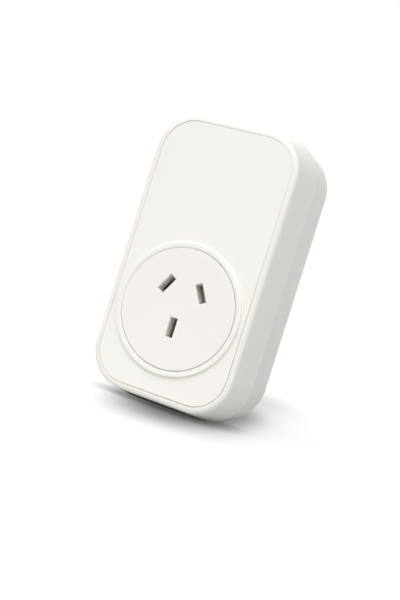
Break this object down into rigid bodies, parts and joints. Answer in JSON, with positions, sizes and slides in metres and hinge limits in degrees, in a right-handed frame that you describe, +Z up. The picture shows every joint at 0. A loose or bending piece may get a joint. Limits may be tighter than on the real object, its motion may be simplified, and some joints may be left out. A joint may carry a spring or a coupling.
{
  "type": "plug-in power controller",
  "caption": "Wall-plug power controller with a switched angled-slot outlet on its rounded front panel, flat plug pins behind, a relay board inside and a pairing button on its side.",
  "frame": {"origin": "middle of the plug-pin pattern, on the flat rear face", "axes": "+Y along the pins into the wall, +Z up, +X to the right seen from the front"},
  "size_m": [0.0604, 0.055, 0.1067],
  "materials": {
    "housing_white": "fine satin",
    "panel_white": "smooth satin",
    "outlet_white": "smooth satin",
    "inner_white": "matt moulded",
    "shutter_plastic": "matt moulded",
    "black_plastic": "matt moulded",
    "brass_sheet": "stamped",
    "pin_brass": "polished",
    "spring_steel": "drawn wire",
    "screw_steel": "zinc plated",
    "soft_iron": "plated",
    "board_laminate": "solder mask",
    "relay_blue": "gloss moulded",
    "copper_winding": "enamelled wire",
    "contact_silver": "silver alloy",
    "can_steel": "tinned",
    "ferrite": "matt ceramic",
    "bobbin_plastic": "matt moulded",
    "capacitor_sleeve": "shrunk film",
    "film_box": "gloss moulded",
    "varistor_coat": "dipped epoxy",
    "resistor_coat": "fired enamel"
  },
  "bodies": {
    "housing": {"front_cover": "housing_white", "rear_housing": "housing_white", "fascia_panel": "panel_white", "socket_face": "outlet_white", "socket_block": "inner_white", "shutter_springs": "spring_steel", "contact_active": "brass_sheet", "contact_neutral": "brass_sheet", "contact_earth": "brass_sheet", "pin_active": "pin_brass", "pin_neutral": "pin_brass", "pin_earth": "pin_brass", "sleeve_active": "black_plastic", "sleeve_neutral": "black_plastic", "plug_base": "inner_white", "barrier_plate": "inner_white", "neutral_link": "pin_brass", "earth_link": "pin_brass", "input_strap": "brass_sheet", "neutral_strap": "brass_sheet", "output_strap": "brass_sheet", "main_board": "board_laminate", "relay_base": "black_plastic", "relay_cover": "relay_blue", "relay_bobbin": "bobbin_plastic", "relay_coil": "copper_winding", "relay_core": "soft_iron", "relay_yoke": "soft_iron", "relay_fixed_contact": "contact_silver", "transformer_core": "ferrite", "transformer_bobbin": "bobbin_plastic", "varistor": "varistor_coat", "fuse_resistor": "resistor_coat", "film_capacitor": "film_box", "bulk_capacitor": "capacitor_sleeve", "radio_module": "board_laminate", "shield_can": "can_steel", "switch_body": "black_plastic", "case_screws": "screw_steel", "board_screws": "screw_steel", "block_screws": "screw_steel"},
    "shutter": {"safety_shutter": "shutter_plastic"},
    "button": {"pairing_button": "outlet_white", "switch_plunger": "black_plastic"},
    "armature": {"relay_armature": "soft_iron", "relay_contact_spring": "contact_silver"}
  },
  "joints": [
    {"name": "shutter_slide", "type": "slide", "parent": "housing", "child": "shutter", "axis": [0, 0, -1], "range_m": [0, 0.006], "stiffness_N_per_m": 150, "springref_m": -0.001, "deforming": ["shutter_springs"]},
    {"name": "button_press", "type": "slide", "parent": "housing", "child": "button", "axis": [1, 0, 0], "range_m": [0, 0.0006], "stiffness_N_per_m": 800},
    {"name": "armature_hinge", "type": "hinge", "parent": "housing", "child": "armature", "pos_m": [-0.0065, -0.0217, 0.0411], "axis": [1, 0, 0], "range_deg": [-4, 0], "stiffness_Nm_per_rad": 0.036}
  ]
}
